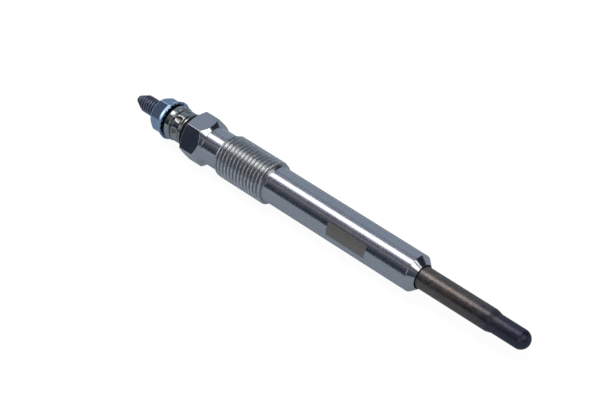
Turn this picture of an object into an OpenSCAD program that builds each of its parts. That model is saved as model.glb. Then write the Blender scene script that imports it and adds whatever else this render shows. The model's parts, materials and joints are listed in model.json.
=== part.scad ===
// Sheathed-element diesel glow plug with an M10 x 1 thread and an M4 terminal, lying on its side.
// The pieces are turned about one axis. Stations along it count from the shoulder where the hexagon
// meets the neck: positive towards the heater tip, negative towards the terminal.

/* [Hexagon and thread] */
// Hexagon width across flats
hex_af = 10; // [9.5:0.5:13]
// Hexagon length, end face to shoulder
hex_len = 5.7; // [4:0.1:9]
// Corner angle of the hexagon's terminal end, from its end face
hex_top_angle = 30; // [20:1:45]
// Corner angle of the hexagon's thread end, from the axis
hex_foot_angle = 45; // [35:1:60]
// Neck diameter between hexagon and thread
neck_d = 8.6; // [8:0.1:9.2]
// Neck length
neck_len = 4.4; // [2:0.2:6]
// Thread diameter over the crests
thread_d = 10; // [9.6:0.1:11]
// Threaded length with both lead-in cones
thread_len = 14.5; // [10:0.1:22]
// Length of each lead-in cone
thread_lead = 0.8; // [0.5:0.1:2]

/* [Barrel and seat] */
// Barrel diameter
barrel_d = 8.4; // [7.8:0.1:8.6]
// Barrel length, thread to seat
barrel_len = 39.6; // [32:0.2:60]
// Included angle of the sealing cone
seat_angle = 82; // [60:1:100]
// Diameter of the flat rim at the end of the cone
seat_rim_d = 5.7; // [5.7:0.1:6.4]

/* [Bores in the body] */
// Bore round the stem of the terminal stud
stem_bore_d = 4.6; // [4.2:0.1:4.8]
// Recess in the hexagon for the insulating washer and the seal
recess_d = 6; // [5.6:0.1:6.4]
// Depth of that recess
recess_depth = 5; // [4.4:0.1:7]
// Mouth of the ring gap round the heater sheath
gap_d = 5.5; // [5.3:0.1:5.6]
// Depth of the ring gap
gap_depth = 4.5; // [2:0.1:8]

/* [Heater sheath] */
// Sheath diameter, a press fit in the body
sheath_d = 5; // [4.9:0.1:5.2]
// Sheath wall
sheath_wall = 0.5; // [0.35:0.05:0.6]
// Reach of the sheath beyond the seat rim
sheath_reach = 27.6; // [24:0.2:40]
// Length of sheath gripped in the body
sheath_grip = 15.5; // [10:0.5:20]
// Diameter of the drawn-down tip
tip_d = 4.3; // [4:0.1:4.6]
// Length of the drawn-down tip with its dome
tip_len = 8.2; // [6:0.1:11]
// Length of the cone between sheath and tip
step_len = 1.4; // [0.8:0.1:3]
// Metal left at the closed end, where the coil is welded
tip_web = 1.2; // [0.8:0.1:1.6]

/* [Coils inside the sheath] */
// Wire diameter
wire_d = 0.4; // [0.3:0.02:0.5]
// Mean coil diameter
coil_d = 2; // [1.8:0.05:2.2]
// Turns of the control coil
control_turns = 14; // [8:1:20]
// Pitch of the control coil
control_pitch = 0.8; // [0.65:0.05:1]
// Turns of the heating coil
heating_turns = 8; // [5:1:11]
// Pitch of the heating coil
heating_pitch = 0.9; // [0.65:0.05:1]
// Length of the sealing ring at the open end of the sheath
seal_len = 3; // [2:0.1:5]

/* [Terminal stud and nut] */
// Terminal thread diameter over the crests
stud_d = 4; // [3.8:0.1:4.2]
// Free length of stud beyond the nut, with its point
stud_free = 7.2; // [5:0.1:12]
// Length of the stud's point
point_len = 2.4; // [1:0.1:3]
// Diameter of the flat at the end of the point
point_d = 1.6; // [0.4:0.1:2]
// Stem diameter inside the body
stem_d = 3.4; // [3:0.1:3.6]
// Diameter of the pin that reaches into the sheath
pin_d = 2.4; // [2:0.1:2.8]
// Nut width across flats
nut_af = 7; // [6.6:0.1:8]
// Nut height with its flange
nut_h = 4.2; // [3.6:0.1:6]
// Chamfer circle on the nut's free end
nut_face_d = 6.9; // [6:0.1:7]
// Corner angle of the nut's free end, from its end face
nut_top_angle = 30; // [20:1:45]
// Flange diameter
flange_d = 9.2; // [8.8:0.1:9.6]
// Thickness of the flange at its rim
flange_t = 0.85; // [0.6:0.05:1.2]
// Slope of the flange's upper face, in degrees
flange_slope = 25; // [15:1:35]
// Teeth pressed into the flange's face
teeth = 24; // [12:2:36]
// Depth of those teeth
tooth_depth = 0.35; // [0.15:0.05:0.45]
// Turn of the nut from the hexagon, in degrees
nut_turn = 36; // [0:1:60]

/* [Crimped collar and insulating washer] */
// Collar diameter over its rings
collar_d = 8; // [7.8:0.1:9]
// Collar length with the land under the nut
collar_len = 5.3; // [4.6:0.1:7]
// Diameter of the land that the nut bears on
land_d = 6.6; // [5.6:0.1:7]
// Height of that land
land_len = 0.6; // [0.3:0.1:0.9]
// Diameter of the collar's crimped waist
waist_d = 7.5; // [7:0.1:7.7]
// Length of that waist
waist_len = 2.8; // [1.8:0.1:3.2]
// Thickness of the collar's ring next to the washer
foot_ring = 0.6; // [0.4:0.1:1.8]
// Crimp dents round the waist
dents = 8; // [4:1:9]
// Diameter of a dent
dent_d = 2.2; // [1:0.1:2.4]
// Depth of a dent below the waist
dent_depth = 0.4; // [0.2:0.05:0.6]
// Turn of the dents from the lowest line of the lying part, in degrees
dent_turn = 28; // [0:1:45]
// Insulating washer diameter
washer_d = 8; // [7.6:0.1:9]
// Insulating washer thickness
washer_t = 1.4; // [0.6:0.1:2]
// Length of the washer's sleeve inside the recess
sleeve_len = 2.6; // [1.5:0.1:3]

/* [Hidden] */
$fn = 96;

// Clearances and small edges
slip = 0.1;        // radial clearance of the washer's bore round the stud
sleeve_fit = 0.05; // radial clearance of the washer's sleeve in the recess
seal_fit = 0.01;   // clearance of the O-ring to the walls that squeeze it
coil_fit = 0.05;   // clearance of the coil round the spigot that it is welded to
edge = 0.25;       // small broken edge on turned corners
over = 1;          // how far a cutting tool runs past the metal
groove_share = 0.75; // share of a tooth's pitch that its groove takes at the rim
seam_turn = 3;     // turn of the seam of the body's outside, off the line that the part rests on

// Stations from the shoulder towards the heater tip
neck_end = neck_len;
thread_end = neck_end + thread_len;
barrel_end = thread_end + barrel_len;
seat_end = barrel_end + (barrel_d - seat_rim_d) / 2 / tan(seat_angle / 2);
gap_floor = seat_end - gap_depth;
tube_top = gap_floor - sheath_grip;
tip_end = seat_end + sheath_reach;
tip_start = tip_end - tip_len;
step_start = tip_start - step_len;
dome_center = tip_end - tip_d / 2;

// Stations from the shoulder towards the terminal
hex_top = -hex_len;
washer_top = hex_top - washer_t;
collar_top = washer_top - collar_len;
nut_top = collar_top - nut_h;
stud_end = nut_top - stud_free;
recess_floor = hex_top + recess_depth;

// Inside of the sheath
sheath_id = sheath_d - 2 * sheath_wall;
tip_id = tip_d - 2 * sheath_wall;
cavity_center = tip_end - tip_web - tip_id / 2;
seal_start = tube_top + edge;
seal_end = seal_start + seal_len;

// The coils follow each other up from the closed end; the stud's spigot ends inside the control coil
heating_start = cavity_center - heating_turns * heating_pitch;
control_start = heating_start - control_turns * control_pitch;
spigot_d = coil_d - wire_d - 2 * coil_fit;
spigot_turns = 3;
pin_end = control_start - wire_d;
spigot_end = control_start + spigot_turns * control_pitch;
stem_end = tube_top - 2 * edge;
stud_thread_end = hex_top + sleeve_len;

// O-ring between the sleeve of the washer and the floor of the recess
ring_section = (recess_d - stem_d) / 2 - 2 * seal_fit;
ring_radius = (recess_d + stem_d) / 4;
ring_center = hex_top + sleeve_len + ring_section / 2 + seal_fit;

// Resting place: the widest round or flat lies on the surface, and the length is centred
rest_height = max(hex_af, thread_d, flange_d, collar_d, washer_d) / 2;
mid_station = (tip_end + stud_end) / 2;

// Lays the turning axis along X, heater tip towards +X, with the part on the surface at Z = 0
module lie_down() {
    translate([-mid_station, 0, rest_height]) rotate([0, 90, 0]) children();
}

// A solid turned about the axis from [radius, station] points
module turned(points) {
    rotate_extrude() polygon(points);
}

// A cylinder from one station to another
module bar(d, from, to) {
    translate([0, 0, from]) cylinder(d = d, h = to - from);
}

// A hexagon across flats, with a flat on the underside of the lying part
module hexagon(af, from, to, turn = 0) {
    translate([0, 0, from]) rotate([0, 0, 30 + turn]) cylinder(d = af / cos(30), h = to - from, $fn = 6);
}

// Turned envelope that takes the corners off the body's hexagon: a cone from the chamfer circle on its
// terminal end, and one down to the neck on the other
module hex_envelope() {
    corner = hex_af / cos(30) / 2 + edge;
    face = hex_af / 2 - edge;
    turned([[0, hex_top], [face, hex_top], [corner, hex_top + (corner - face) * tan(hex_top_angle)],
            [corner, -(corner - neck_d / 2) / tan(hex_foot_angle)], [neck_d / 2, 0], [0, 0]]);
}

// Outside of the body: hexagon, neck, thread over its crests, barrel and sealing cone
module body_outside() {
    intersection() {
        hexagon(hex_af, hex_top, 0);
        hex_envelope();
    }
    rotate([0, 0, seam_turn])
        turned([[0, -edge], [neck_d / 2, -edge], [neck_d / 2, neck_end],
                [thread_d / 2, neck_end + thread_lead], [thread_d / 2, thread_end - thread_lead],
                [barrel_d / 2, thread_end], [barrel_d / 2, barrel_end],
                [seat_rim_d / 2, seat_end], [0, seat_end]]);
}

// Bores from the terminal end to the seat: recess, stem bore, press fit for the sheath, ring gap
module body_bores() {
    bar(recess_d, hex_top - over, recess_floor);
    bar(stem_bore_d, hex_top, tube_top + edge);
    bar(sheath_d, tube_top, seat_end);
    bar(gap_d, gap_floor, seat_end + over);
}

module plug_body() {
    color([0.66, 0.67, 0.69]) lie_down() difference() {
        body_outside();
        body_bores();
    }
}

// Outline of the sheath, outside or inside, from its open end to the closed dome
module sheath_form(d, small_d, center) {
    turned([[0, tube_top], [d / 2, tube_top], [d / 2, step_start],
            [small_d / 2, tip_start], [small_d / 2, center], [0, center]]);
    translate([0, 0, center]) sphere(d = small_d);
}

module glow_tube() {
    color([0.3, 0.27, 0.25]) lie_down() difference() {
        sheath_form(sheath_d, tip_d, dome_center);
        sheath_form(sheath_id, tip_id, cavity_center);
        bar(sheath_id, tube_top - over, tube_top + edge);
        weld_tail();
    }
}

// Stud: point, terminal thread, stem, pin and the spigot that carries the coil
module stud_form() {
    turned([[0, stud_end], [point_d / 2, stud_end], [stud_d / 2, stud_end + point_len],
            [stud_d / 2, stud_thread_end], [stem_d / 2, stud_thread_end], [stem_d / 2, stem_end],
            [pin_d / 2, stem_end], [pin_d / 2, pin_end], [spigot_d / 2, pin_end],
            [spigot_d / 2, spigot_end], [0, spigot_end]]);
}

module terminal_stud() {
    color([0.16, 0.16, 0.19]) lie_down() stud_form();
}

// One tooth space of the flange's face: a V-groove that runs out through the rim
module tooth_groove() {
    groove_w = PI * flange_d / teeth * groove_share;
    rotate([90, 0, 90])
        linear_extrude(flange_d)
            polygon([[-groove_w / 2, 0], [groove_w / 2, 0], [0, -tooth_depth]]);
}

// Flange nut: chamfered hexagon on a conical flange, with teeth pressed into the face
module terminal_nut() {
    flange_top = collar_top - flange_t;
    cone_top = flange_top - (flange_d - nut_af) / 2 * tan(flange_slope);
    corner = nut_af / cos(30) / 2 + edge;
    color([0.56, 0.63, 0.72]) lie_down() difference() {
        union() {
            intersection() {
                hexagon(nut_af, nut_top, flange_top, nut_turn);
                turned([[0, nut_top], [nut_face_d / 2, nut_top],
                        [corner, nut_top + (corner - nut_face_d / 2) * tan(nut_top_angle)],
                        [corner, flange_top], [0, flange_top]]);
            }
            turned([[0, cone_top], [nut_af / 2, cone_top], [flange_d / 2, flange_top],
                    [flange_d / 2, collar_top], [0, collar_top]]);
        }
        bar(stud_d, nut_top - over, collar_top + over);
        difference() {
            translate([0, 0, collar_top])
                for (k = [0:teeth - 1]) rotate([0, 0, (k + 0.5) * 360 / teeth]) tooth_groove();
            bar(land_d, collar_top - over, collar_top + over);
        }
    }
}

// Collar crimped onto the stud: a land for the nut, then two rings with a dented waist between them
module crimp_collar() {
    land_end = collar_top + land_len;
    foot_top = washer_top - foot_ring;
    waist_top = foot_top - waist_len;
    dent_r = (pow(dent_d / 2, 2) + pow(dent_depth, 2)) / (2 * dent_depth);
    color([0.62, 0.61, 0.58]) lie_down() difference() {
        turned([[0, collar_top], [land_d / 2, collar_top], [land_d / 2, land_end],
                [collar_d / 2 - edge, land_end], [collar_d / 2, land_end + edge],
                [collar_d / 2, waist_top - edge], [waist_d / 2, waist_top],
                [waist_d / 2, foot_top], [collar_d / 2, foot_top + edge],
                [collar_d / 2, washer_top - edge / 2], [(collar_d - edge) / 2, washer_top],
                [0, washer_top]]);
        bar(stud_d, collar_top - over, washer_top + over);
        for (k = [0:dents - 1])
            rotate([0, 0, dent_turn + k * 360 / dents])
                translate([waist_d / 2 + dent_r - dent_depth, 0, (foot_top + waist_top) / 2])
                    sphere(r = dent_r);
    }
}

// Moulded insulator: a washer under the collar with a sleeve that centres the stud
module insulating_washer() {
    color([0.05, 0.05, 0.06]) lie_down() difference() {
        union() {
            bar(washer_d, washer_top, hex_top);
            bar(recess_d - 2 * sleeve_fit, hex_top, hex_top + sleeve_len);
        }
        bar(stud_d + 2 * slip, washer_top - over, hex_top + sleeve_len + over);
    }
}

module o_ring() {
    color([0.08, 0.08, 0.08]) lie_down() translate([0, 0, ring_center])
        rotate_extrude() translate([ring_radius, 0]) circle(d = ring_section);
}

// Rubber ring that closes the open end of the sheath round the pin
module tube_seal() {
    color([0.35, 0.12, 0.1]) lie_down() difference() {
        bar(sheath_id, seal_start, seal_end);
        bar(pin_d, seal_start - over, seal_end + over);
    }
}

// Tilt of a half ring whose ends lie half a pitch apart
function coil_tilt(pitch) = asin(pitch / (2 * coil_d));

// A coil of half turns, each a half ring tilted so that its ends meet the next ones in line
module coil(from, turns, pitch) {
    tilt = coil_tilt(pitch);
    for (k = [0:2 * turns - 1])
        translate([0, 0, from + (k + 0.5) * pitch / 2])
            rotate([0, k % 2 == 0 ? tilt : -tilt, 0])
                rotate([0, 0, k % 2 == 0 ? 0 : 180])
                    rotate_extrude(angle = 180) translate([coil_d / 2, 0]) circle(d = wire_d);
}

module control_coil() {
    color([0.6, 0.58, 0.55]) lie_down() coil(control_start, control_turns, control_pitch);
}

// Straight end of the heating coil, let into the closed end of the sheath where it is welded
module weld_tail() {
    translate([coil_d / 2 * cos(coil_tilt(heating_pitch)), 0, cavity_center])
        cylinder(d = wire_d + 2 * coil_fit, h = tip_id / 2);
}

module heating_coil() {
    color([0.5, 0.45, 0.4]) lie_down() {
        coil(heating_start, heating_turns, heating_pitch);
        weld_tail();
    }
}

// Compacted magnesia that fills the sheath round the pin and the coils
module magnesia_fill() {
    color([0.9, 0.89, 0.86]) lie_down() difference() {
        intersection() {
            sheath_form(sheath_id, tip_id, cavity_center);
            bar(sheath_d, seal_end, tip_end);
        }
        stud_form();
        coil(control_start, control_turns, control_pitch);
        coil(heating_start, heating_turns, heating_pitch);
        weld_tail();
    }
}

plug_body();
glow_tube();
terminal_stud();
terminal_nut();
crimp_collar();
insulating_washer();
o_ring();
tube_seal();
magnesia_fill();
control_coil();
heating_coil();
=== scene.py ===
import json
import math

import bmesh
import bpy
import numpy as np
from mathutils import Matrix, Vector


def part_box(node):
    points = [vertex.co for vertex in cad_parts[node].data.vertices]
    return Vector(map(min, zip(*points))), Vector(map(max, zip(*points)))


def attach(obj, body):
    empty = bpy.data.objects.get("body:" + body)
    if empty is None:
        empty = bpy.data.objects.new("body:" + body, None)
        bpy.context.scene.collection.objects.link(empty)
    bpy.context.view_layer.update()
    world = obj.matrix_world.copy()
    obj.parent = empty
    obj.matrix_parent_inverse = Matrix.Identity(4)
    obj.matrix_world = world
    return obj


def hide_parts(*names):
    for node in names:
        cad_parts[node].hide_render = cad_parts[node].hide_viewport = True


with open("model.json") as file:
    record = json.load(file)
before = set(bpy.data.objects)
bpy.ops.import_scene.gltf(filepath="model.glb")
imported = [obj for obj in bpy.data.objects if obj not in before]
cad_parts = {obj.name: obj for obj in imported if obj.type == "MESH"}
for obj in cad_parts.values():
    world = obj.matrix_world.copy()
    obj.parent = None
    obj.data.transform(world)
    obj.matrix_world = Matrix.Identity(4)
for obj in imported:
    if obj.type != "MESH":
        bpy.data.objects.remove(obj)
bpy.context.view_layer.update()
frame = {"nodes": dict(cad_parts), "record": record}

# Lengths are in millimetres along the plug's axis and from it, angles in degrees round the axis: 0 is +Y
# and 90 is up. Meshes are written in metres.
MM = 0.001
MOUNTS = {mount["name"]: mount for mount in frame["record"]["mounts"]}


def reach(node):
    """Where a solid starts and ends along X, and how far it reaches from the axis, in millimetres."""
    low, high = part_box(node)
    return low.x / MM, high.x / MM, (high.z - low.z) / MM / 2


# Stations and radii that the solids give
HEX_TOP, SEAT_END, HEX_FLAT = reach("plug_body")
TUBE_TOP, TIP_END, SHEATH_R = reach("glow_tube")
STUD_TOP, SPIGOT_END, STUD_R = reach("terminal_stud")
NUT_TOP, COLLAR_TOP, NUT_REACH = reach("terminal_nut")
WASHER_TOP, COLLAR_R = reach("crimp_collar")[1:]
SLEEVE_END, WASHER_R = reach("insulating_washer")[1:]
AXIS_Z = HEX_FLAT
THREAD_R = MOUNTS["body_thread"]["dims"]["r_mm"]

# Body: hexagon, neck, thread, barrel and sealing cone
EDGE = 0.25  # small broken edge on turned corners
HEX_LEN = 5.7
SHOULDER = HEX_TOP + HEX_LEN
HEX_FACE = HEX_FLAT - EDGE
HEX_TOP_ANGLE = 30
HEX_TOP_SLOPE = math.tan(math.radians(HEX_TOP_ANGLE))
HEX_TURN = 90.0
NECK_R = 4.3
NECK_LEN = 4.4
NECK_END = SHOULDER + NECK_LEN
THREAD_LEN = 14.5
THREAD_END = NECK_END + THREAD_LEN
THREAD_LEAD = 0.8
RUN_OUT = 0.12
THREAD_PITCH = 1.0
THREAD_DEPTH = 0.58
BARREL_R = 4.2
RIM_R = 2.85
SEAT_ANGLE = 41
BARREL_END = SEAT_END - (BARREL_R - RIM_R) / math.tan(math.radians(SEAT_ANGLE))
GAP_R = 2.75
GAP_DEPTH = 4.5
GAP_FLOOR = SEAT_END - GAP_DEPTH
STEM_BORE_R = 2.3
RECESS_R = 3.0
RECESS_DEPTH = 5.0
RECESS_FLOOR = HEX_TOP + RECESS_DEPTH
RUN_OUT_FILLET = 0.35
HEAD_FILLETS = [0.06, 0.12, 0.12, 0.3]
TAIL_FILLETS = [0.22, 0.05, 0.03, 0.1, 0.05, 0.05, 0.05, 0.05, 0.05]

# Heater sheath
TIP_R = 2.15
TIP_LEN = 8.2
TIP_START = TIP_END - TIP_LEN
STEP_LEN = 1.4
STEP_START = TIP_START - STEP_LEN
SHEATH_WALL = 0.5
TIP_WEB = 1.2
SHEATH_FILLETS = [0.1, 1.6, 1.2]
CAVITY_FILLETS = [0.5, 0.5]
DOME_ROWS = 15

# Terminal stud, nut, collar and washer
POINT_LEN = 2.4
POINT_R = 0.8
POINT_FILLET = 0.15
STUD_PITCH = 0.7
STUD_DEPTH = 0.4
STUD_THREAD_START = 0.25  # from the point's end
STUD_THREAD_STOP = 1.0  # short of the collar's top
STUD_FILLET = 0.05
STEM_R = 1.7
STEM_STOP = 0.5  # short of the sheath's open end
PIN_R = 1.2
SPIGOT_R = 0.75
SPIGOT_LEN = 2.8
NUT_FLAT = 3.5
NUT_FACE = 3.45
NUT_TURN = HEX_TURN + 36
NUT_LEAD = 0.35  # chamfer of the nut's bore
NUT_BORE_START = 0.4  # from the nut's free end
NUT_EDGE = 0.2
NUT_FILLETS = [0.05, 0.08, 0.15, 0.18, 0.12]
FLANGE_INSET = 0.08  # how much smaller the rim is than the solid's
FLANGE_R = NUT_REACH - FLANGE_INSET
FLANGE_T = 1.2
RIM_TAPER = 0.33
FLANGE_ANGLE = 25
FLANGE_SLOPE = math.tan(math.radians(FLANGE_ANGLE))
TEETH = 24
TOOTH_DEPTH = 0.22
TOOTH_SHARE = 0.75
TOOTH_EDGE = 0.03
TOOTH_END = 0.02  # from the land's rim
TOOTH_ROWS = 5
RIM_EDGE = 0.06  # between the rim's end and the roots of the teeth
LAND_R = 3.3
LAND_LEN = 0.4
WAIST_R = 3.75
WAIST_LEN = 2.8
FOOT_RING = 0.6
DENTS = 8
DENT_R = 1.1
DENT_DEPTH = 0.2
DENT_TURN = -62.0
DENT_ROW = 0.09  # distance of the rows that the dents are pressed into
CRIMP = 0.26  # depth of the crease that the crimp leaves beside each ring
CRIMP_LEN = 0.5
COLLAR_WALL = 0.5  # nothing nearer to the stud than this is dented
COLLAR_FILLETS = [0.08, 0.1, 0.3, 0.2, 0.1, 0.3, 0.3, 0.1, 0.16, 0.12]
WASHER_PLAY = 0.1  # round the stud
SLEEVE_PLAY = 0.05  # in the body's recess
WASHER_FILLETS = [0.15, 0.15, 0.05, 0.1, 0.05]

# How the meshes are made: columns round the axis, rows along it, and what counts as one point or one edge
BODY_COLUMNS = 168
SHEATH_COLUMNS = 120
STUD_COLUMNS = 96
COLLAR_COLUMNS = 192
WASHER_COLUMNS = 96
COLUMNS_PER_TOOTH = 8
CORNER_SPREAD = 1.3  # degrees from a hexagon's corner to its outermost extra column
LEAST_STEP = 0.05  # degrees between two columns
THREAD_ROWS = 16  # in one pitch
STUD_ROWS = 14
CREST = 0.04  # half the crest's width, as a share of the pitch
FLANK = 0.4  # a flank's width, as a share of the pitch
TIE = 0.12  # distance of the rows that keep a flat stretch flat up to its end
TIE_SHARE = 1.3  # where the same rows lie beside a fillet, in lengths of the fillet
FILLET_SHARE = 0.35  # most that a fillet takes of the stretches it joins
LAST_ROW = 0.1  # how far an outline's last row stays from the start that it comes back to
WELD = 1e-8  # points nearer than this, in metres, become one
SHARP_ANGLE = 58  # edges that turn by more degrees than this stay sharp

# Turning lines of barrel and neck: their spacing and depth
FEED = 0.5
RING_DEPTH = 0.004
GROOVE_DULL = 0.19  # how much rougher the lines' grooves are

# Etched, matte patch on the barrel
PATCH = (SHOULDER + 37.0, SHOULDER + 47.7)
PATCH_ANGLES = (140.0, 181.0)


def even(count):
    """Evenly spaced angles round the axis."""
    return np.arange(count) * 360.0 / count


def with_corners(angles, turn, spread):
    """Adds columns beside the six corners of a hexagon whose flats face turn and every 60 degrees on."""
    corners = turn + 30 + 60.0 * np.arange(6)
    extra = (corners[:, None] + np.array([-spread, -spread / 2, 0, spread / 2, spread])).ravel() % 360
    merged = np.sort(np.concatenate([angles, extra]))
    keep = np.diff(np.append(merged, merged[0] + 360)) > LEAST_STEP
    return merged[keep]


def hexagon(angles, flat, turn, fillet):
    """Radius of a hexagon with filleted corners at each angle."""
    off_flat = np.radians((angles - turn + 30) % 60 - 30)
    radius = flat / np.cos(off_flat)
    off_corner = math.pi / 6 - np.abs(off_flat)
    centre = (flat - fillet) / math.cos(math.pi / 6)
    inside = np.clip(fillet ** 2 - (centre * np.sin(off_corner)) ** 2, 0, None)
    filleted = centre * np.cos(off_corner) + np.sqrt(inside)
    tangent = math.pi / 6 - math.atan2((flat - fillet) * math.tan(math.pi / 6), flat)
    return np.where(off_corner < tangent, filleted, radius)


def rounded_corner(before, corner, after, radius, steps):
    """Rows of an arc that rounds one corner in every column, with a straight row on either side of it."""
    back = before - corner
    ahead = after - corner
    back_len = np.linalg.norm(back, axis=-1, keepdims=True)
    ahead_len = np.linalg.norm(ahead, axis=-1, keepdims=True)
    back = back / back_len
    ahead = ahead / ahead_len
    half = np.arccos(np.clip((back * ahead).sum(-1, keepdims=True), -1, 1)) / 2
    start = np.minimum(radius / np.tan(half), FILLET_SHARE * np.minimum(back_len, ahead_len))
    middle = back + ahead
    middle = middle / np.linalg.norm(middle, axis=-1, keepdims=True)
    centre = corner + middle * start / np.cos(half)
    first = corner + back * start - centre
    last = corner + ahead * start - centre
    sweep = math.pi - 2 * half
    rows = [corner + back * start * TIE_SHARE]
    for share in np.linspace(0, 1, steps + 1):
        arc = np.sin((1 - share) * sweep) * first + np.sin(share * sweep) * last
        rows.append(centre + arc / np.sin(sweep))
    rows.append(corner + ahead * start * TIE_SHARE)
    return rows


def soften(points, radii, steps=3):
    """Rounds the inner corners of a polyline of (station, radius) rows, each with its own radius."""
    rows = [points[0]]
    for before, corner, after, radius in zip(points, points[1:], points[2:], radii):
        rows += rounded_corner(before, corner, after, radius, steps)
    rows.append(points[-1])
    return rows


def line(columns, *points):
    """A polyline of (station, radius) points, each a number or one number per column."""
    spread = np.ones(columns)
    return [np.stack([station * spread, radius * spread], axis=-1) for station, radius in points]


def split(start, end, count):
    """Rows evenly spaced between two rows, without the two themselves."""
    return [start + (end - start) * k / count for k in range(1, count)]


def skin(name, rows, angles, closed):
    """A mesh over rows of (station, radius) and columns of angles. Closed rows end where they start, and
    otherwise the first and last rows lie on the axis."""
    grid = np.stack(rows)
    polar = np.radians(angles)
    radius = grid[..., 1]
    points = np.stack([grid[..., 0], radius * np.cos(polar), AXIS_Z + radius * np.sin(polar)], -1)
    index = np.arange(grid.shape[0] * grid.shape[1]).reshape(grid.shape[:2])
    below = np.roll(index, -1, axis=0)
    if not closed:
        index, below = index[:-1], below[:-1]
    quads = np.stack([index, np.roll(index, -1, 1), np.roll(below, -1, 1), below], -1).reshape(-1, 4)
    mesh = bpy.data.meshes.new(name)
    mesh.from_pydata((points.reshape(-1, 3) * MM).tolist(), [], quads.tolist())
    made = bmesh.new()
    made.from_mesh(mesh)
    bmesh.ops.remove_doubles(made, verts=made.verts, dist=WELD)
    bmesh.ops.recalc_face_normals(made, faces=made.faces)
    made.to_mesh(mesh)
    made.free()
    mesh.shade_smooth()
    mesh.set_sharp_from_angle(angle=math.radians(SHARP_ANGLE))
    piece = bpy.data.objects.new(name, mesh)
    bpy.context.scene.collection.objects.link(piece)
    return piece


def place(piece, node, material):
    """Lets a piece stand for a solid and its finish."""
    piece.data.materials.append(material)
    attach(piece, "root")
    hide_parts(node)


def thread(stations, angles, crest, pitch, depth):
    """Radius of a right-hand thread with rounded crests and roots."""
    turn = (stations[:, None] / pitch - angles[None, :] / 360) % 1
    off_crest = np.abs(turn - 0.5)
    flank = np.clip((off_crest - CREST) / FLANK, 0, 1)
    return crest - depth * flank * flank * (3 - 2 * flank)


def thread_rows(start, end, angles, radius_limit, crest, pitch, depth, per_pitch=THREAD_ROWS):
    """Rows of a thread between two stations, cut back to the limit that the lead-in cones give."""
    count = int((end - start) / pitch * per_pitch)
    stations = np.linspace(start, end, count + 1)[1:-1]
    radius = np.minimum(thread(stations, angles, crest, pitch, depth), radius_limit(stations)[:, None])
    return [np.stack([np.full_like(r, s), r], axis=-1) for s, r in zip(stations, radius)]


def body_mesh():
    """Turned body: hexagon, neck, rolled thread, barrel, sealing cone and bores, in one skin."""
    angles = with_corners(even(BODY_COLUMNS), HEX_TURN, CORNER_SPREAD)
    count = len(angles)
    corner = hexagon(angles, HEX_FLAT, HEX_TURN, EDGE)
    top = HEX_TOP + (corner - HEX_FACE) * HEX_TOP_SLOPE
    foot = SHOULDER - (corner - NECK_R)
    head = line(count, (HEX_TOP, RECESS_R), (HEX_TOP, HEX_FACE), (top, corner), (foot, corner),
                (SHOULDER, NECK_R), (NECK_END, NECK_R))
    rows = soften(head, HEAD_FILLETS)
    rows[-1:-1] = line(count, (NECK_END - TIE, NECK_R))

    def lead(stations):
        """Radius of the cones that the thread starts and ends in."""
        rise = NECK_R + (stations - NECK_END) * (THREAD_R - NECK_R) / THREAD_LEAD
        fall = BARREL_R + (THREAD_END - stations) * (THREAD_R - BARREL_R) / THREAD_LEAD
        return np.minimum(rise, fall)

    last = THREAD_END - RUN_OUT
    rows += thread_rows(NECK_END, last, angles, lead, THREAD_R, THREAD_PITCH, THREAD_DEPTH)
    run_out = line(count, (last, BARREL_R + RUN_OUT), (THREAD_END, BARREL_R),
                   (THREAD_END + 2 * TIE, BARREL_R))
    rows += soften(run_out, [RUN_OUT_FILLET], steps=5)[1:]
    tail = line(count, (THREAD_END + 3 * TIE, BARREL_R), (BARREL_END, BARREL_R), (SEAT_END, RIM_R),
                (SEAT_END, GAP_R), (GAP_FLOOR, GAP_R), (GAP_FLOOR, SHEATH_R), (TUBE_TOP, SHEATH_R),
                (TUBE_TOP, STEM_BORE_R), (RECESS_FLOOR, STEM_BORE_R), (RECESS_FLOOR, RECESS_R),
                (HEX_TOP + LAST_ROW, RECESS_R))
    rows += soften(tail, TAIL_FILLETS)
    return skin("body_shell", rows, angles, closed=True)


def tube_mesh():
    """Heater sheath with its drawn-down tip, the dome and the wall's inside."""
    angles = even(SHEATH_COLUMNS)
    inner = SHEATH_R - SHEATH_WALL
    inner_tip = TIP_R - SHEATH_WALL
    dome = TIP_END - TIP_R
    cavity = TIP_END - TIP_WEB - inner_tip
    side = line(SHEATH_COLUMNS, (TUBE_TOP, inner), (TUBE_TOP, SHEATH_R), (STEP_START, SHEATH_R),
                (TIP_START, TIP_R), (dome, TIP_R))
    back = line(SHEATH_COLUMNS, (cavity, inner_tip), (TIP_START, inner_tip), (STEP_START, inner),
                (TUBE_TOP + LAST_ROW, inner))
    quarter = np.radians(np.linspace(0, 90, DOME_ROWS))
    rows = soften(side, SHEATH_FILLETS, steps=6)
    cap = [(dome + TIP_R * math.sin(a), TIP_R * math.cos(a)) for a in quarter[1:-1]]
    outside = rows + line(SHEATH_COLUMNS, *cap, (TIP_END, 0.0))
    hollow = [(cavity + inner_tip * math.sin(a), inner_tip * math.cos(a)) for a in quarter[::-1]]
    inside = line(SHEATH_COLUMNS, *hollow)
    inside += soften(back, CAVITY_FILLETS)[1:]
    return skin("sheath", inside + outside, angles, closed=False)


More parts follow.
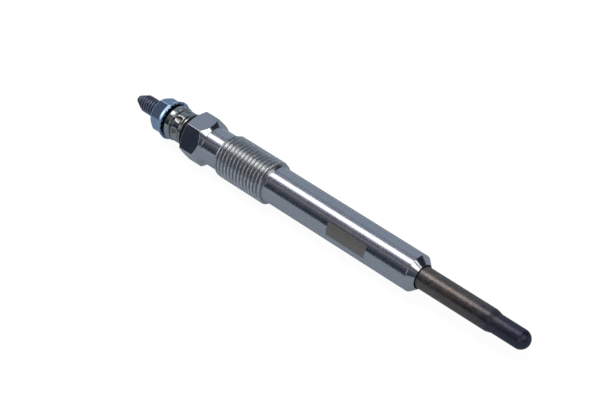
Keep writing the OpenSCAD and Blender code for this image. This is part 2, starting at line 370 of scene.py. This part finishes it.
def stud_mesh():
    """Stud: threaded terminal with its point, then stem, pin and spigot."""
    angles = even(STUD_COLUMNS)
    thread_end = COLLAR_TOP - STUD_THREAD_STOP
    cone = STUD_TOP + POINT_LEN

    def point(stations):
        """Radius of the conical point."""
        return POINT_R + (stations - STUD_TOP) * (STUD_R - POINT_R) / POINT_LEN

    end = line(STUD_COLUMNS, (STUD_TOP, 0.0), (STUD_TOP, POINT_R), (cone, STUD_R))
    rows = soften(end, [POINT_FILLET])[:-2]
    start = STUD_TOP + STUD_THREAD_START
    rows += thread_rows(start, thread_end, angles, point, STUD_R, STUD_PITCH, STUD_DEPTH, STUD_ROWS)
    stem_end = TUBE_TOP - STEM_STOP
    spigot = SPIGOT_END - SPIGOT_LEN
    rest = line(STUD_COLUMNS, (thread_end, STUD_R - STUD_DEPTH), (thread_end, STUD_R),
                (SLEEVE_END, STUD_R), (SLEEVE_END, STEM_R), (stem_end, STEM_R), (stem_end, PIN_R),
                (spigot, PIN_R), (spigot, SPIGOT_R), (SPIGOT_END, SPIGOT_R), (SPIGOT_END, 0.0))
    rows += soften(rest, [STUD_FILLET] * (len(rest) - 2))
    return skin("stud", rows, angles, closed=False)


def nut_mesh():
    """Hexagon flange nut with a chamfered free end and teeth pressed into the flange's face."""
    angles = with_corners(even(TEETH * COLUMNS_PER_TOOTH), NUT_TURN, CORNER_SPREAD)
    count = len(angles)
    corner = hexagon(angles, NUT_FLAT, NUT_TURN, NUT_EDGE)
    chamfer = NUT_TOP + (corner - NUT_FACE) * HEX_TOP_SLOPE
    flange_top = COLLAR_TOP - FLANGE_T
    seat = flange_top - (FLANGE_R - RIM_TAPER - corner) * FLANGE_SLOPE
    rim_end = COLLAR_TOP - TOOTH_DEPTH - RIM_EDGE
    head = line(count, (NUT_TOP + NUT_LEAD, STUD_R), (NUT_TOP, STUD_R + NUT_LEAD), (NUT_TOP, NUT_FACE),
                (chamfer, corner), (seat, corner), (flange_top, FLANGE_R - RIM_TAPER), (rim_end, FLANGE_R))
    rows = soften(head, NUT_FILLETS, steps=5)
    rows[-1:-1] = line(count, (rim_end - TIE, FLANGE_R - RIM_TAPER * TIE / (rim_end - flange_top)))
    pitch = 360.0 / TEETH
    off_groove = np.radians((angles - HEX_TURN) % pitch - pitch / 2)
    half_width = math.pi * FLANGE_R / TEETH * TOOTH_SHARE

    def face(radius):
        """Station of the toothed face at a radius."""
        depth = TOOTH_DEPTH * np.clip(1 - np.abs(radius * np.sin(off_groove)) / half_width, 0, 1)
        return COLLAR_TOP - depth

    rim = face(FLANGE_R)
    rows += line(count, (rim - TOOTH_EDGE, FLANGE_R), (rim, FLANGE_R - TOOTH_EDGE))
    toothed = np.linspace(FLANGE_R - TIE, LAND_R + TOOTH_END, TOOTH_ROWS)
    rows += line(count, *[(face(radius), radius) for radius in toothed])
    rows += line(count, (COLLAR_TOP, LAND_R), (COLLAR_TOP, STUD_R), (NUT_TOP + NUT_BORE_START, STUD_R))
    return skin("flange_nut", rows, angles, closed=True)


def collar_mesh():
    """Collar crimped onto the stud: land, two rings and a waist with pressed dents."""
    angles = even(COLLAR_COLUMNS)
    land_end = COLLAR_TOP + LAND_LEN
    foot_top = WASHER_TOP - FOOT_RING
    waist_top = foot_top - WAIST_LEN
    crease = WAIST_R - CRIMP
    outline = line(COLLAR_COLUMNS, (COLLAR_TOP, STUD_R), (COLLAR_TOP, LAND_R), (land_end, LAND_R),
                   (land_end, COLLAR_R), (waist_top - EDGE, COLLAR_R), (waist_top, crease),
                   (waist_top + CRIMP_LEN, WAIST_R), (foot_top - CRIMP_LEN, WAIST_R),
                   (foot_top, crease), (foot_top + EDGE, COLLAR_R), (WASHER_TOP, COLLAR_R),
                   (WASHER_TOP, STUD_R))
    rows = soften(outline, COLLAR_FILLETS, steps=5)
    dense = []
    for row, after in zip(rows, rows[1:]):
        steps = max(1, int(np.linalg.norm(after[0] - row[0]) / DENT_ROW))
        inside_waist = waist_top - EDGE < row[0, 0] < foot_top + EDGE
        dense += [row] + (split(row, after, steps) if inside_waist else [])
    dense.append(rows[-1])
    ball = (DENT_R ** 2 + DENT_DEPTH ** 2) / (2 * DENT_DEPTH)
    distance = WAIST_R + ball - DENT_DEPTH
    pitch = 360.0 / DENTS
    off_dent = np.radians((angles - DENT_TURN + pitch / 2) % pitch - pitch / 2)
    middle = (waist_top + foot_top) / 2
    for row in dense:
        room = ball ** 2 - (row[:, 0] - middle) ** 2 - (distance * np.sin(off_dent)) ** 2
        pressed = distance * np.cos(off_dent) - np.sqrt(np.clip(room, 0, None))
        inside = (room > 0) & (row[:, 1] > STUD_R + COLLAR_WALL)
        row[:, 1] = np.where(inside, np.minimum(row[:, 1], pressed), row[:, 1])
    return skin("collar", dense, angles, closed=True)


def washer_mesh():
    """Moulded insulating washer with its sleeve."""
    angles = even(WASHER_COLUMNS)
    bore = STUD_R + WASHER_PLAY
    sleeve = RECESS_R - SLEEVE_PLAY
    outline = line(WASHER_COLUMNS, (WASHER_TOP, bore), (WASHER_TOP, WASHER_R), (HEX_TOP, WASHER_R),
                   (HEX_TOP, sleeve), (SLEEVE_END, sleeve), (SLEEVE_END, bore),
                   (WASHER_TOP + LAST_ROW, bore))
    return skin("insulator", soften(outline, WASHER_FILLETS), angles, closed=True)


NOISE_SPAN = (0.3, 0.7)  # where most of a noise's values lie


class Finish:
    """A metal, plastic or rubber finish, built node by node on a Principled shader."""

    def __init__(self, name, **settings):
        self.material = bpy.data.materials.new(name)
        self.material.use_nodes = True
        self.tree = self.material.node_tree
        self.shader = self.tree.nodes["Principled BSDF"]
        for key, value in settings.items():
            self.feed(self.shader.inputs[key.replace("_", " ").title().replace("Ior", "IOR")], value)
        place_in_metres = self.node("ShaderNodeTexCoord").outputs["Object"]
        self.position = self.node("ShaderNodeVectorMath", {0: place_in_metres, "Scale": 1 / MM},
                                  operation="SCALE").outputs[0]
        split_axes = self.node("ShaderNodeSeparateXYZ", {0: self.position})
        self.x, self.y, self.z = split_axes.outputs
        self.up = self.math("SUBTRACT", self.z, AXIS_Z)

    def feed(self, socket, value):
        """Links an output to an input, or sets the input to a value."""
        if isinstance(value, bpy.types.NodeSocket):
            self.tree.links.new(value, socket)
        else:
            socket.default_value = value

    def node(self, kind, inputs=None, **settings):
        """A new node with its settings and inputs."""
        made = self.tree.nodes.new(kind)
        for key, value in settings.items():
            setattr(made, key, value)
        for key, value in (inputs or {}).items():
            self.feed(made.inputs[key], value)
        return made

    def math(self, operation, first, second=0.0):
        """One operation on two values."""
        return self.node("ShaderNodeMath", {0: first, 1: second}, operation=operation).outputs[0]

    def radius(self):
        """Distance from the axis."""
        squares = [self.math("MULTIPLY", side, side) for side in (self.y, self.up)]
        return self.math("POWER", self.math("ADD", *squares), 0.5)

    def ramp(self, value, low, high, out_low=0.0, out_high=1.0):
        """A smooth step from one output to another while the value goes from low to high."""
        inputs = {"Value": value, "From Min": low, "From Max": high}
        inputs.update({"To Min": out_low, "To Max": out_high})
        return self.node("ShaderNodeMapRange", inputs, interpolation_type="SMOOTHSTEP").outputs["Result"]

    def vary(self, noise, low, high):
        """A number that goes from low to high with a noise."""
        return self.ramp(noise, *NOISE_SPAN, low, high)

    def band(self, value, low, high, soft):
        """1 between low and high, 0 outside, with soft edges."""
        rise = self.ramp(value, low - soft, low + soft)
        fall = self.ramp(value, high - soft, high + soft, 1.0, 0.0)
        return self.math("MULTIPLY", rise, fall)

    def noise(self, scale, detail=3.0, stretch=(1, 1, 1), roughness=0.55):
        """Noise with features of about 1 / scale millimetres, stretched along an axis."""
        stretched = self.node("ShaderNodeVectorMath", {0: self.position, 1: stretch}, operation="MULTIPLY")
        inputs = {"Vector": stretched.outputs[0], "Scale": scale, "Detail": detail, "Roughness": roughness}
        return self.node("ShaderNodeTexNoise", inputs).outputs["Fac"]

    def mix(self, share, first, second):
        """A colour between two colours."""
        made = self.node("ShaderNodeMix", {"Factor": share}, data_type="RGBA")
        for socket, value in ((made.inputs[6], first), (made.inputs[7], second)):
            self.feed(socket, value if isinstance(value, bpy.types.NodeSocket) else (*value, 1.0))
        return made.outputs[2]

    def product(self, first, second):
        """One colour times another."""
        inputs = {"Factor": 1.0, 6: first, 7: second}
        return self.node("ShaderNodeMix", inputs, data_type="RGBA", blend_type="MULTIPLY").outputs[2]

    def blend(self, share, first, second):
        """A number between two numbers."""
        made = self.node("ShaderNodeMix", {"Factor": share}, data_type="FLOAT")
        self.feed(made.inputs[2], first)
        self.feed(made.inputs[3], second)
        return made.outputs[0]

    def stops(self, value, low, high, colours):
        """Colours along a value: (value, colour) pairs."""
        share = self.math("DIVIDE", self.math("SUBTRACT", value, low), high - low)
        made = self.node("ShaderNodeValToRGB", {0: share})
        made.color_ramp.interpolation = "B_SPLINE"
        elements = made.color_ramp.elements
        while len(elements) < len(colours):
            elements.new(0.5)
        for element, (at, colour) in zip(elements, colours):
            element.position = (at - low) / (high - low)
            element.color = (*colour, 1.0)
        return made.outputs["Color"]

    def set(self, **outputs):
        """Feeds the shader's inputs by their names."""
        for key, value in outputs.items():
            self.feed(self.shader.inputs[key.replace("_", " ").title()], value)

    def bump(self, height, depth):
        """Relief of the given depth in millimetres."""
        inputs = {"Height": height, "Distance": depth * MM, "Strength": 1.0}
        self.set(normal=self.node("ShaderNodeBump", inputs).outputs["Normal"])


def nickel_body_finish():
    """Nickel plate: bright on barrel and neck, matte in the etched patch; on the thread, painted shade in
    the roots and painted highlights on the crests.
    """
    finish = Finish("nickel_plate", metallic=1.0)
    cloud = finish.noise(0.35)
    lines = finish.math("SINE", finish.math("MULTIPLY", finish.x, 2 * math.pi / FEED))
    uneven = finish.noise(1.2, detail=2.0, stretch=(1, 0.05, 0.05))
    turned = finish.math("MULTIPLY", lines, finish.vary(uneven, 0.45, 1.0))
    barrel = finish.band(finish.x, THREAD_END + 0.1, BARREL_END - 0.15, 0.05)
    neck = finish.band(finish.x, SHOULDER + 0.3, NECK_END - 0.1, 0.05)
    lathed = finish.math("MAXIMUM", barrel, neck)
    rings = finish.math("MULTIPLY", turned, lathed)
    grooves = finish.math("MULTIPLY", finish.ramp(turned, -1.0, 0.3, GROOVE_DULL, 0.0), lathed)
    fine = finish.noise(6.0, detail=4.0)
    angle = finish.math("ARCTAN2", finish.up, finish.y)
    ragged = finish.vary(fine, -0.05, 0.05)
    along = finish.band(finish.math("ADD", finish.x, ragged), *PATCH, 0.04)
    round_it = finish.band(angle, *[math.radians(a) for a in PATCH_ANGLES], 0.012)
    low_side = finish.band(angle, math.radians(-180.0), math.radians(PATCH_ANGLES[1] - 360), 0.012)
    patch = finish.math("MULTIPLY", along, finish.math("MAXIMUM", round_it, low_side))
    threaded = finish.band(finish.x, NECK_END + 0.2, THREAD_END - 0.2, 0.2)
    streak = finish.ramp(rings, -0.8, 0.8, 0.96, 1.03)
    plate = finish.product(finish.mix(cloud, (0.56, 0.575, 0.60), (0.64, 0.65, 0.665)), streak)
    # Painted shade in the thread's roots and painted highlights on its crests, broken up by a noise
    crest = finish.ramp(finish.radius(), THREAD_R - THREAD_DEPTH, THREAD_R - 0.06)
    crest_highlight_breaks = finish.ramp(finish.noise(1.6, detail=3.0), 0.35, 0.65, 0.55, 1.0)
    tone_and_crest_highlight = finish.math("MULTIPLY", crest, crest_highlight_breaks)
    thread_shade_and_highlight = finish.product(finish.mix(tone_and_crest_highlight, (0.38, 0.385, 0.39), (0.86, 0.865, 0.86)),
                          finish.mix(fine, (0.88, 0.88, 0.88), (1.1, 1.1, 1.1)))
    etched = finish.mix(fine, (0.30, 0.28, 0.24), (0.43, 0.40, 0.35))
    finish.set(base_color=finish.mix(patch, finish.mix(threaded, plate, thread_shade_and_highlight), etched))
    smooth = finish.blend(neck, finish.vary(cloud, 0.10, 0.14), 0.13)
    lined = finish.math("ADD", smooth, grooves)
    rough = finish.blend(threaded, lined, finish.blend(tone_and_crest_highlight, 0.34, 0.16))
    finish.set(roughness=finish.blend(patch, rough, finish.vary(fine, 0.5, 0.62)))
    grain = finish.math("MULTIPLY", fine, finish.math("MULTIPLY", patch, 2.0))
    finish.bump(finish.math("ADD", rings, grain), RING_DEPTH)
    return finish.material


def sheath_finish():
    """Heat-tinted alloy: grey near the body, brown and golden along the sheath with painted glints, dark
    blue at the tip.
    """
    finish = Finish("heat_tint", metallic=1.0)
    cloud = finish.noise(0.5, detail=5.0)
    patches = finish.noise(1.3, detail=4.0, stretch=(0.6, 1, 1))
    drawn = finish.noise(4.2, detail=3.0, stretch=(0.8, 1, 1))
    shift = finish.vary(cloud, -1.8, 1.8)
    along = finish.math("ADD", finish.x, shift)
    tint = finish.stops(along, SEAT_END - 3, TIP_END, [
        (SEAT_END - 3, (0.20, 0.192, 0.186)),
        (SEAT_END + 3, (0.188, 0.176, 0.166)),
        (SEAT_END + 8, (0.182, 0.164, 0.146)),
        (SEAT_END + 13, (0.176, 0.156, 0.144)),
        (STEP_START - 1.5, (0.146, 0.128, 0.137)),
        (TIP_START + 1.0, (0.085, 0.086, 0.118)),
        (TIP_END, (0.078, 0.082, 0.116)),
    ])
    golden = finish.mix(finish.ramp(patches, 0.46, 0.66), (0.97, 0.98, 1.0), (1.3, 1.12, 0.98))
    # Painted glints: small bright golden spots in the colour, fading out towards the tip
    painted_glint = finish.ramp(finish.noise(4.5, detail=2.0), 0.57, 0.67)
    golden_with_painted_glints = finish.mix(painted_glint, golden, (2.1, 1.7, 1.25))
    warm = finish.mix(finish.ramp(finish.x, STEP_START - 3, TIP_START + 0.5), golden_with_painted_glints, (1.0, 1.0, 1.0))
    tone_and_crest_highlight = finish.mix(finish.ramp(drawn, 0.34, 0.66), (0.82, 0.82, 0.83), (1.16, 1.16, 1.16))
    shaded = finish.product(finish.product(tint, warm), tone_and_crest_highlight)
    finish.set(base_color=shaded)
    broken = finish.ramp(patches, 0.38, 0.62, -0.03, 0.05)
    dulled = finish.ramp(finish.x, STEP_START, TIP_START, 0.34, 0.41)
    finish.set(roughness=finish.math("ADD", dulled, broken))
    finish.bump(finish.math("ADD", drawn, patches), 0.008)
    return finish.material


def stud_finish():
    """Dark steel, brighter on the thread's crests and darker on the point."""
    finish = Finish("dark_steel", metallic=1.0)
    fine = finish.noise(4.0, detail=4.0)
    radius = finish.radius()
    crest = finish.ramp(radius, STUD_R - 0.3, STUD_R - 0.05)
    base = finish.mix(fine, (0.085, 0.093, 0.13), (0.15, 0.16, 0.215))
    point = finish.ramp(finish.x, STUD_TOP + POINT_LEN - 0.5, STUD_TOP + POINT_LEN, 0.5, 1.0)
    finish.set(base_color=finish.product(finish.mix(crest, base, (0.31, 0.33, 0.41)), point))
    finish.set(roughness=finish.vary(fine, 0.3, 0.48))
    finish.bump(fine, 0.006)
    return finish.material


def zinc_finish():
    """Blue-passivated zinc plate, with painted shade on the toothed face inside the rim."""
    finish = Finish("blue_zinc", metallic=1.0)
    cloud = finish.noise(0.7)
    fine = finish.noise(7.0, detail=4.0)
    plate = finish.mix(cloud, (0.34, 0.475, 0.665), (0.46, 0.63, 0.815))
    radius = finish.radius()
    # Painted shade: the toothed face inside the rim is darkened and made rougher, where the gap to the
    # collar lies in shade
    within = finish.ramp(radius, FLANGE_R - 0.75, FLANGE_R - 0.35, 1.0, 0.0)
    on_face = finish.ramp(finish.x, COLLAR_TOP - TOOTH_DEPTH - 0.08, COLLAR_TOP - TOOTH_DEPTH - 0.03)
    painted_shade = finish.math("MULTIPLY", within, on_face)
    finish.set(base_color=finish.mix(painted_shade, plate, (0.07, 0.085, 0.11)))
    finish.set(roughness=finish.blend(painted_shade, finish.vary(fine, 0.06, 0.13), 0.5))
    finish.bump(fine, 0.003)
    return finish.material


def collar_finish():
    """Nickel plate, with painted shade in the dents and creases and on the land under the nut."""
    finish = Finish("warm_nickel", metallic=1.0)
    cloud = finish.noise(0.6)
    fine = finish.noise(6.0, detail=4.0)
    radius = finish.radius()
    # Painted shade: the dents and creases, below the waist's radius, get a darker colour
    outer = finish.ramp(radius, WAIST_R - DENT_DEPTH, WAIST_R + 0.05)
    plate = finish.mix(cloud, (0.40, 0.405, 0.40), (0.60, 0.61, 0.60))
    plate_with_painted_dent_shade = finish.mix(outer, (0.22, 0.215, 0.185), plate)
    # Painted shade on the land under the nut, which is also made rougher there
    painted_shade = finish.ramp(finish.x, COLLAR_TOP + LAND_LEN - 0.25, COLLAR_TOP + LAND_LEN, 1.0, 0.0)
    finish.set(base_color=finish.mix(painted_shade, plate_with_painted_dent_shade, (0.07, 0.07, 0.075)))
    finish.set(roughness=finish.blend(painted_shade, finish.vary(fine, 0.06, 0.14), 0.5))
    uneven = finish.noise(1.4, detail=2.0)
    finish.bump(finish.math("ADD", finish.math("MULTIPLY", uneven, 9.0), fine), 0.005)
    return finish.material


ROUGH_SPREAD = 0.06  # how far a plain finish's roughness goes either way


def plain_finish(name, dark, pale, rough, relief, scale=3.0, metallic=0.0, specular=0.5):
    """A finish of two close tones with a fine grain."""
    finish = Finish(name, metallic=metallic, specular_ior_level=specular)
    grain = finish.noise(scale, detail=4.0)
    finish.set(base_color=finish.mix(grain, dark, pale))
    finish.set(roughness=finish.vary(grain, rough - ROUGH_SPREAD, rough + ROUGH_SPREAD))
    finish.bump(grain, relief)
    return finish.material


def dress_inside():
    """Finishes of the sealed inner pieces, which keep their solids' own meshes."""
    wire = plain_finish("coil_wire", (0.30, 0.27, 0.24), (0.45, 0.42, 0.38), 0.35, 0.003, metallic=1.0)
    inside = {
        "o_ring": plain_finish("black_rubber", (0.018, 0.018, 0.019), (0.03, 0.03, 0.031), 0.55, 0.008),
        "tube_seal": plain_finish("red_rubber", (0.22, 0.055, 0.04), (0.32, 0.085, 0.06), 0.6, 0.008),
        "magnesia_fill": plain_finish("magnesia", (0.78, 0.77, 0.73), (0.88, 0.87, 0.84), 0.85, 0.015),
        "control_coil": wire,
        "heating_coil": wire,
    }
    for node, material in inside.items():
        solid = frame["nodes"][node].data
        solid.materials.clear()
        solid.materials.append(material)


def dress_outside():
    """The pieces that show, each in place of its solid."""
    place(body_mesh(), "plug_body", nickel_body_finish())
    place(tube_mesh(), "glow_tube", sheath_finish())
    place(stud_mesh(), "terminal_stud", stud_finish())
    place(nut_mesh(), "terminal_nut", zinc_finish())
    place(collar_mesh(), "crimp_collar", collar_finish())
    black = plain_finish("black_insulator", (0.006, 0.006, 0.007), (0.013, 0.013, 0.015), 0.5, 0.006,
                         specular=0.15)
    place(washer_mesh(), "insulating_washer", black)


def light_material(name, colour, strength):
    """A plain emitter."""
    material = bpy.data.materials.new(name)
    material.use_nodes = True
    tree = material.node_tree
    tree.nodes.clear()
    emitter = tree.nodes.new("ShaderNodeEmission")
    emitter.inputs["Color"].default_value = (*colour, 1.0)
    emitter.inputs["Strength"].default_value = strength
    output = tree.nodes.new("ShaderNodeOutputMaterial")
    tree.links.new(emitter.outputs[0], output.inputs["Surface"])
    return material


# Studio round the plug: a grey table and sweep, a dark room on the camera's side and to the right, and a
# long soft light overhead. Cards show in reflections only. Lengths are in metres here.
CARD_RADIUS = 0.45
CARD_STEPS = 16
ROOM = 0.9
DARK_SIDE = 0.03  # the room's back is dark to the right of this X
KEY_SIDE = 0.33  # the bright light overhead lies to the right of this X
TABLE_GREY = (0.195, 0.220, 0.258)
SWEEP_BLUE = (0.30, 0.35, 0.44)
LIT_TABLE = -0.11  # the table is brighter to the left of this X
LIT_GREY = (0.78, 0.84, 0.92)
BACK_DARK = (0.030, 0.032, 0.042)
OVERHEAD = (0.12, 0.125, 0.155)
KEY = (1.9, 1.95, 2.0)
FRONT_BLUE = (0.075, 0.085, 0.115)
FRONT_DARK = (0.024, 0.032, 0.051)
BACK_WHITE = (0.90, 0.95, 1.0)
LIGHT_EDGE = (0.42, 0.45, 0.56)
WARM_GREY = (0.30, 0.26, 0.26)
FRONT_WHITE = (0.85, 0.88, 0.95)
TABLE_EDGE = (0.12, 0.145, 0.17)
LEFT_WHITE = (1.25, 1.32, 1.40)


def dimmed(colour, share):
    """A colour at a share of its strength."""
    return [share * channel for channel in colour]


# Cards on a cylinder round the axis: first and last angle, first and last X, colour
CARDS = {
    "card_sweep_low": (0.0, 14.0, -ROOM, DARK_SIDE, dimmed(SWEEP_BLUE, 0.85)),
    "card_sweep": (14.0, 54.0, -ROOM, DARK_SIDE, SWEEP_BLUE),
    "card_sweep_top": (54.0, 80.0, -ROOM, DARK_SIDE, dimmed(SWEEP_BLUE, 0.74)),
    "card_back_low": (0.0, 15.0, DARK_SIDE, 0.55, SWEEP_BLUE),
    "card_back_end": (0.0, 30.0, 0.55, ROOM, BACK_WHITE),
    "card_back_mid": (15.0, 30.0, DARK_SIDE, 0.55, BACK_DARK),
    "card_back_right": (30.0, 60.0, DARK_SIDE, ROOM, BACK_DARK),
    "card_back_gap": (60.0, 80.0, DARK_SIDE, KEY_SIDE, BACK_DARK),
    "card_key_low": (60.0, 78.0, KEY_SIDE, 0.48, KEY),
    "card_key_low_end": (60.0, 78.0, 0.48, ROOM, BACK_DARK),
    "card_key": (78.0, 106.0, KEY_SIDE, 0.70, KEY),
    "card_key_end": (78.0, 106.0, 0.70, ROOM, BACK_DARK),
    "card_overhead": (80.0, 102.0, -ROOM, KEY_SIDE, OVERHEAD),
    "card_light_edge": (102.0, 110.0, -ROOM, DARK_SIDE, LIGHT_EDGE),
    "card_light_end": (102.0, 110.0, DARK_SIDE, KEY_SIDE, OVERHEAD),
    "card_overhead_near": (110.0, 130.0, -ROOM, KEY_SIDE, OVERHEAD),
    "card_overhead_end": (106.0, 130.0, KEY_SIDE, ROOM, OVERHEAD),
    "card_warm": (130.0, 135.0, -ROOM, ROOM, WARM_GREY),
    "card_front": (135.0, 151.0, -ROOM, 0.1, FRONT_BLUE),
    "card_front_low": (151.0, 174.5, -ROOM, 0.1, FRONT_DARK),
    "card_front_right": (135.0, 165.0, 0.1, 0.4, FRONT_WHITE),
    "card_front_far": (135.0, 165.0, 0.4, ROOM, FRONT_BLUE),
    "card_low_far": (165.0, 174.5, 0.1, ROOM, FRONT_DARK),
    "card_table_end": (174.5, 181.0, -ROOM, ROOM, TABLE_EDGE),
}
# Upright cards: X, first and last Y, first and last Z, colour
WALLS = {
    "card_left": (-ROOM, -ROOM, ROOM, 0.0, ROOM, LEFT_WHITE),
    "card_left_key": (0.02 - ROOM, -0.26, -0.06, 0.10, 0.26, KEY),
    "card_right": (ROOM, -ROOM, ROOM, 0.0, ROOM, BACK_DARK),
}
LIGHT_ANGLE = 91.8
LIGHT_HEIGHT = 0.40
LIGHT_SIZE = (0.505, 0.158)
LIGHT_SIDE = -0.2225
LIGHT_WATTS = 0.5
AMBIENT = 0.35
FLOOR_DROP = 0.0004
FLOOR_SIZE = 4.0
FLOOR_LIT = 0.25
FLOOR_GLOW = 0.92


def only_in_reflections(card):
    """Keeps a card out of everything but reflections."""
    card.visible_camera = False
    card.visible_diffuse = False
    card.visible_shadow = False
    card.visible_transmission = False


def stage_mesh(name, points, faces, material):
    """A piece of the studio."""
    mesh = bpy.data.meshes.new(name)
    mesh.from_pydata(points, [], faces)
    mesh.materials.append(material)
    piece = bpy.data.objects.new(name, mesh)
    bpy.context.scene.collection.objects.link(piece)
    return piece


def make_cards():
    """The cards round the plug and the upright ones."""
    for name, (first, last, left, right, colour) in CARDS.items():
        angles = np.radians(np.linspace(first, last, CARD_STEPS + 1))
        arc = [(CARD_RADIUS * math.cos(a), CARD_RADIUS * math.sin(a)) for a in angles]
        points = [(x, *spot) for spot in arc for x in (left, right)]
        faces = [(2 * k, 2 * k + 1, 2 * k + 3, 2 * k + 2) for k in range(CARD_STEPS)]
        only_in_reflections(stage_mesh(name, points, faces, light_material(name, colour, 1.0)))
    for name, (x, near, far, low, high, colour) in WALLS.items():
        wall = [(x, near, low), (x, far, low), (x, far, high), (x, near, high)]
        only_in_reflections(stage_mesh(name, wall, [(0, 1, 2, 3)], light_material(name, colour, 1.0)))


def square(size, height):
    """Corners of a level square round the origin."""
    half = size / 2
    return [(-half, -half, height), (half, -half, height), (half, half, height), (-half, half, height)]


def seen_directly(tree, light_path):
    """1 for what is seen straight, in a mirror or through glass, and 0 for light that falls on things."""
    first = tree.nodes.new("ShaderNodeMath")
    first.operation = "MAXIMUM"
    tree.links.new(light_path.outputs["Is Camera Ray"], first.inputs[0])
    tree.links.new(light_path.outputs["Is Glossy Ray"], first.inputs[1])
    second = tree.nodes.new("ShaderNodeMath")
    second.operation = "MAXIMUM"
    tree.links.new(first.outputs[0], second.inputs[0])
    tree.links.new(light_path.outputs["Is Transmission Ray"], second.inputs[1])
    return second.outputs[0]


def make_floor():
    """Floor that is white to the camera and keeps the plug's shadow."""
    material = bpy.data.materials.new("pale_floor")
    material.use_nodes = True
    tree = material.node_tree
    tree.nodes.clear()
    light_path = tree.nodes.new("ShaderNodeLightPath")
    seen = seen_directly(tree, light_path)
    diffuse = tree.nodes.new("ShaderNodeBsdfDiffuse")
    diffuse.inputs["Color"].default_value = (FLOOR_LIT, FLOOR_LIT, FLOOR_LIT, 1.0)
    glow = tree.nodes.new("ShaderNodeEmission")
    tree.links.new(seen, glow.inputs["Strength"])
    both = tree.nodes.new("ShaderNodeAddShader")
    tree.links.new(diffuse.outputs[0], both.inputs[0])
    tree.links.new(glow.outputs[0], both.inputs[1])
    glow.inputs["Color"].default_value = (FLOOR_GLOW, FLOOR_GLOW, FLOOR_GLOW, 1.0)
    output = tree.nodes.new("ShaderNodeOutputMaterial")
    tree.links.new(both.outputs[0], output.inputs["Surface"])
    stage_mesh("floor", square(FLOOR_SIZE, -FLOOR_DROP), [(0, 1, 2, 3)], material)


def make_table():
    """Grey table that shows in reflections only, with a brighter stretch on the left."""
    grey = bpy.data.materials.new("grey_table")
    grey.use_nodes = True
    shader = grey.node_tree.nodes["Principled BSDF"]
    shader.inputs["Base Color"].default_value = (*TABLE_GREY, 1.0)
    shader.inputs["Emission Color"].default_value = (*TABLE_GREY, 1.0)
    shader.inputs["Emission Strength"].default_value = 1.0
    shader.inputs["Roughness"].default_value = 1.0
    shader.inputs["Specular IOR Level"].default_value = 0.0
    only_in_reflections(stage_mesh("card_table", square(2 * ROOM, -FLOOR_DROP / 2), [(0, 1, 2, 3)], grey))
    corners = ((-ROOM, -ROOM), (LIT_TABLE, -ROOM), (LIT_TABLE, ROOM), (-ROOM, ROOM))
    left = [(x, y, -FLOOR_DROP / 4) for x, y in corners]
    lit = light_material("card_table_left", LIT_GREY, 1.0)
    only_in_reflections(stage_mesh("card_table_left", left, [(0, 1, 2, 3)], lit))


def make_world():
    """White background, with a dimmer even light on the plug."""
    world = bpy.data.worlds.new("studio")
    bpy.context.scene.world = world
    world.use_nodes = True
    tree = world.node_tree
    background = tree.nodes["Background"]
    light_path = tree.nodes.new("ShaderNodeLightPath")
    strength = tree.nodes.new("ShaderNodeMapRange")
    strength.inputs["To Min"].default_value = AMBIENT
    strength.inputs["To Max"].default_value = 1.0
    tree.links.new(seen_directly(tree, light_path), strength.inputs["Value"])
    tree.links.new(strength.outputs["Result"], background.inputs["Strength"])
    background.inputs["Color"].default_value = (1.0, 1.0, 1.0, 1.0)


def make_light():
    """A long soft light over the plug."""
    lamp = bpy.data.lights.new("softbox", "AREA")
    lamp.shape = "RECTANGLE"
    lamp.size, lamp.size_y = LIGHT_SIZE
    lamp.energy = LIGHT_WATTS
    softbox = bpy.data.objects.new("softbox", lamp)
    bpy.context.scene.collection.objects.link(softbox)
    lean = math.radians(LIGHT_ANGLE - 90)
    softbox.location = (LIGHT_SIDE, -LIGHT_HEIGHT * math.sin(lean), LIGHT_HEIGHT * math.cos(lean))
    softbox.rotation_euler = (lean, 0, 0)


# Camera at the photograph's angle: its turn and height in degrees, its distance in millimetres from
# a point on the axis, and its lens and sensor in millimetres
CAMERA_TURN = 43.85
CAMERA_HEIGHT = 41.0
CAMERA_DISTANCE = 433.0
CAMERA_AIM = SHOULDER + 25.9
CAMERA_LENS = 123.5
CAMERA_SENSOR = 36.0
CAMERA_SHIFT = -0.001
CAMERA_CLIP = 0.01


def make_camera():
    """The camera, turned towards its point on the axis."""
    data = bpy.data.cameras.new("camera")
    data.sensor_fit = "HORIZONTAL"
    data.sensor_width = CAMERA_SENSOR
    data.lens = CAMERA_LENS
    data.shift_x = CAMERA_SHIFT
    data.clip_start = CAMERA_CLIP
    camera = bpy.data.objects.new("camera", data)
    bpy.context.scene.collection.objects.link(camera)
    turn, height = math.radians(CAMERA_TURN), math.radians(CAMERA_HEIGHT)
    level = math.cos(height)
    away = Vector((math.sin(turn) * level, -math.cos(turn) * level, math.sin(height)))
    camera.location = Vector((CAMERA_AIM, 0, AXIS_Z)) * MM + away * CAMERA_DISTANCE * MM
    camera.rotation_euler = away.to_track_quat("Z", "Y").to_euler()
    bpy.context.scene.camera = camera


dress_outside()
dress_inside()
make_cards()
make_floor()
make_table()
make_world()
make_light()
make_camera()
bpy.context.scene.view_settings.view_transform = "Standard"
